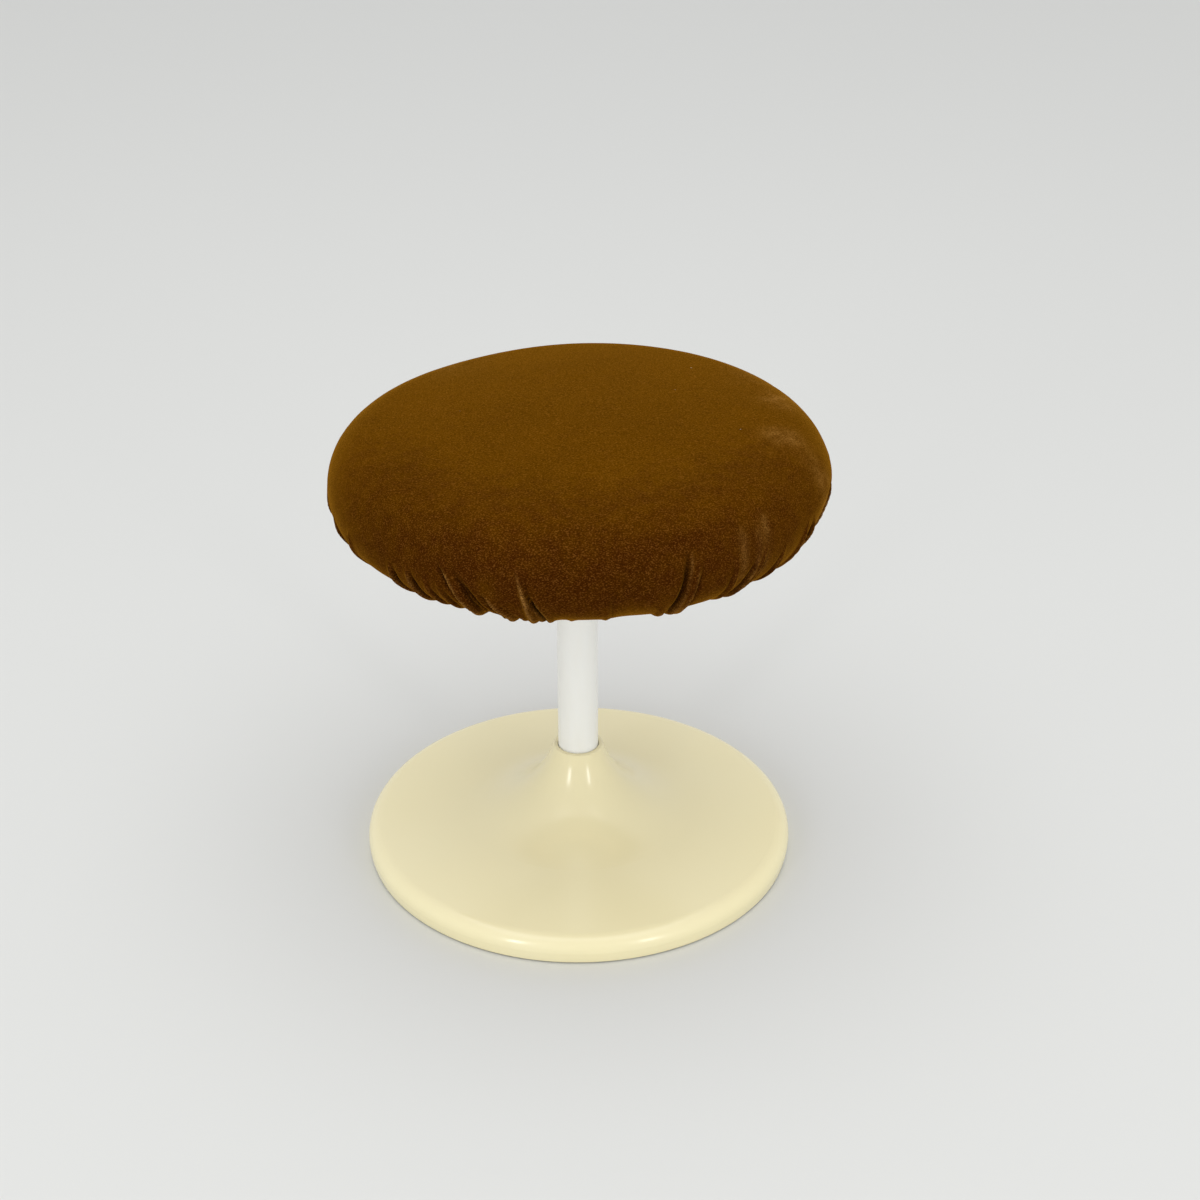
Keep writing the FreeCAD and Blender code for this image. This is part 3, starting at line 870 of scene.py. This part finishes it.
def blackMaterial():
    look = blackLook
    material, tree = newMaterial("black lacquered steel")
    place = addNode(tree, "ShaderNodeTexCoord").outputs["Object"]
    patches = noise(tree, place, look["dustPatch"], detail=7.0, Roughness=0.65)
    colour = blend(tree, ranged(tree, patches, *look["dusty"]), look["black"], look["dust"])
    roughness = ranged(tree, patches, *middle, *look["roughness"])
    peel = noise(tree, place, look["peel"], detail=1.0)
    coat(tree, colour, roughness, peel, look["peelDepth"], IOR=look["ior"])
    return material


# Zinc plated steel: bright but tumbled soft, with the faint blue and straw tints of its passivation

zincLook = {
    "blue": "#b3bac3",
    "straw": "#c8c1a9",
    "tint": 6.0,               # mm
    "roughness": (0.22, 0.42),
    "smear": 2.5,              # mm
    "nick": 0.6,               # mm
    "nickDepth": 0.012,        # mm
}


def zincMaterial():
    look = zincLook
    material, tree = newMaterial("zinc plated steel")
    place = addNode(tree, "ShaderNodeTexCoord").outputs["Object"]
    tints = noise(tree, place, look["tint"], detail=2.0)
    colour = blend(tree, ranged(tree, tints, *middle), look["blue"], look["straw"])
    smears = noise(tree, place, look["smear"], detail=4.0)
    roughness = ranged(tree, smears, *middle, *look["roughness"])
    nicks = noise(tree, place, look["nick"], detail=1.0)
    coat(tree, colour, roughness, nicks, look["nickDepth"], Metallic=1.0)
    return material


# Bare steel: turned on a lathe and wiped with oil. Fine rings about its axis carry the highlights

steelLook = {
    "steel": "#a19e99",
    "oiled": "#6f6961",
    "oilPatch": 13.0,          # mm
    "oily": (0.42, 0.62),
    "roughness": (0.26, 0.46),
    "groove": 0.5,             # mm, drawn a little coarser than the real feed marks
    "grooveDepth": 0.01,       # mm
}


def steelMaterial():
    look = steelLook
    material, tree = newMaterial("turned steel")
    place = addNode(tree, "ShaderNodeTexCoord").outputs["Object"]
    level = stretched(tree, place, 1.0, 1.0, 0.0)
    fromAxis = addNode(tree, "ShaderNodeVectorMath", {0: level}, operation="LENGTH")
    section = addNode(tree, "ShaderNodeCombineXYZ", {
        "X": fromAxis.outputs["Value"], "Z": heightOf(tree, place)})
    grooves = noise(tree, section.outputs["Vector"], look["groove"], detail=1.0)
    oil = noise(tree, place, look["oilPatch"], detail=4.0)
    colour = blend(tree, ranged(tree, oil, *look["oily"]), look["steel"], look["oiled"])
    roughness = ranged(tree, grooves, *middle, *look["roughness"])
    coat(tree, colour, roughness, grooves, look["grooveDepth"], Metallic=1.0)
    return material


# Nylon: natural moulded polyamide, milky and half matt, with grey smears of grease

nylonLook = {
    "milky": "#e7e2d3",
    "greased": "#b9b3a3",
    "smear": 7.0,              # mm
    "greasy": (0.5, 0.72, 0.0, 0.8),
    "roughness": (0.5, 0.3),   # dry and greased
    "spark": 0.35,             # mm, the mould's spark finish
    "sparkDepth": 0.02,        # mm
    "ior": 1.53,
}


def nylonMaterial():
    look = nylonLook
    material, tree = newMaterial("natural nylon")
    place = addNode(tree, "ShaderNodeTexCoord").outputs["Object"]
    smears = noise(tree, place, look["smear"], detail=4.0)
    colour = blend(tree, ranged(tree, smears, *look["greasy"]), look["milky"], look["greased"])
    roughness = ranged(tree, smears, *middle, *look["roughness"])
    spark = noise(tree, place, look["spark"], detail=1.0)
    coat(tree, colour, roughness, spark, look["sparkDepth"], IOR=look["ior"])
    return material


# Rubber: moulded and dull, greyed where floor dust clings to its pebbled skin

rubberLook = {
    "rubber": "#262523",
    "dust": "#6b6860",
    "dustPatch": 4.0,          # mm
    "dusty": (0.45, 0.75, 0.0, 0.45),
    "roughness": 0.85,
    "pebble": 0.7,             # mm
    "pebbleDepth": 0.08,       # mm
    "ior": 1.52,
}


def rubberMaterial():
    look = rubberLook
    material, tree = newMaterial("moulded rubber")
    place = addNode(tree, "ShaderNodeTexCoord").outputs["Object"]
    dust = noise(tree, place, look["dustPatch"], detail=6.0, Roughness=0.7)
    colour = blend(tree, ranged(tree, dust, *look["dusty"]), look["rubber"], look["dust"])
    pebbles = cells(tree, place, look["pebble"]).outputs["Distance"]
    coat(tree, colour, look["roughness"], pebbles, look["pebbleDepth"], IOR=look["ior"])
    return material


# Birch plywood: pale veneer with short brown flecks; long and end grain take turns at the edge

plywoodLook = {
    "pale": "#d9be92",
    "flecked": "#c7a472",
    "endGrain": "#ab8350",
    "glue": "#664829",
    "flecks": (0.4, 0.65),
    "ply": 1.36,               # mm
    "startShare": 0.2,         # of a ply's thickness, how far under the board the first one starts
    "glueShare": 0.1,          # of a ply's thickness
    "figure": 6.0,             # mm across the grain
    "along": 0.07,             # the figure is this much denser along the grain
    "roughness": (0.5, 0.68),
    "poreDepth": 0.08,         # mm
    "ior": 1.47,
}


def plywoodMaterial():
    look = plywoodLook
    material, tree = newMaterial("birch plywood")
    place = addNode(tree, "ShaderNodeTexCoord").outputs["Object"]
    long = stretched(tree, place, look["along"], 1.0, 1.0)
    figure = noise(tree, long, look["figure"], detail=5.0, Roughness=0.6, Distortion=0.4)
    veneer = blend(tree, ranged(tree, figure, *look["flecks"]), look["pale"], look["flecked"])

    # plies counted from a little under the board, so that its faces lie inside an outer ply
    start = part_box("seat_board")[0].z - look["startShare"] * look["ply"] * mm
    plies = maths(tree, "DIVIDE", maths(tree, "SUBTRACT", heightOf(tree, place), start), look["ply"] * mm)
    crossed = maths(tree, "GREATER_THAN", maths(tree, "FLOORED_MODULO", plies, 2.0), 1.0)
    layered = blend(tree, crossed, veneer, look["endGrain"])
    glued = maths(tree, "LESS_THAN", maths(tree, "FRACT", plies), look["glueShare"])
    colour = blend(tree, glued, layered, look["glue"])
    roughness = ranged(tree, figure, *middle, *look["roughness"])
    coat(tree, colour, roughness, figure, look["poreDepth"], IOR=look["ior"])
    return material


# Elastic: rubber threads braided over with white cotton, so that small slanting stitches run round it

elasticLook = {
    "cotton": "#e4e0d6",
    "between": "#8d877b",
    "stitches": 620,           # round the hem, about 1.2 mm each
    "slant": 400.0,            # turns of the pattern for each metre of height
    "raised": (0.0, 0.35),     # where its flank starts and ends; the middle of a stitch is at 0.5
    "stitchDepth": 0.25,       # mm
    "roughness": 0.85,
}


def elasticMaterial():
    look = elasticLook
    material, tree = newMaterial("braided elastic")
    place = addNode(tree, "ShaderNodeTexCoord").outputs["Object"]
    around = addNode(tree, "ShaderNodeTexGradient", {"Vector": place}, gradient_type="RADIAL")
    counted = maths(tree, "MULTIPLY", around.outputs["Fac"], look["stitches"])
    lightAndBrushing = maths(tree, "MULTIPLY_ADD", heightOf(tree, place), look["slant"], counted)
    raised = ranged(tree, maths(tree, "PINGPONG", lightAndBrushing, 0.5), *look["raised"])
    colour = blend(tree, raised, look["between"], look["cotton"])
    coat(tree, colour, look["roughness"], raised, look["stitchDepth"])
    return material


buildStage()
buildCamera()
print("stage and camera built")

velvet = velvetMaterial()
coverMesh = buildSeatCover()
cover = addPiece("velvetSeatCover", coverMesh, velvet)
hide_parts("velvet_cover")
print("velvet cover built:", len(coverMesh.vertices), "points")

foam = addPiece("foamPad", buildFoamPad(), foamMaterial())
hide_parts("foam_pad")
print("foam pad built")

dress(absMaterial(), "trumpet_cover")
dress(tubeMaterial(), "column_tube")
dress(blackMaterial(), "base_plate", "seat_plate")
dress(zincMaterial(), "cover_screws", "flange_screws", "retaining_washer", "retaining_lock_washer",
      "retaining_screw", "plate_washers", "plate_screws", "tee_nuts")
dress(steelMaterial(), "column_flange", "seat_spindle")
dress(nylonMaterial(), "upper_bush", "lower_bush", "thrust_washer")
dress(rubberMaterial(), "floor_pads")
dress(plywoodMaterial(), "seat_board")
dress(elasticMaterial(), "elastic_cord")
print("solid pieces dressed")

bpy.context.scene.view_settings.view_transform = "Standard"
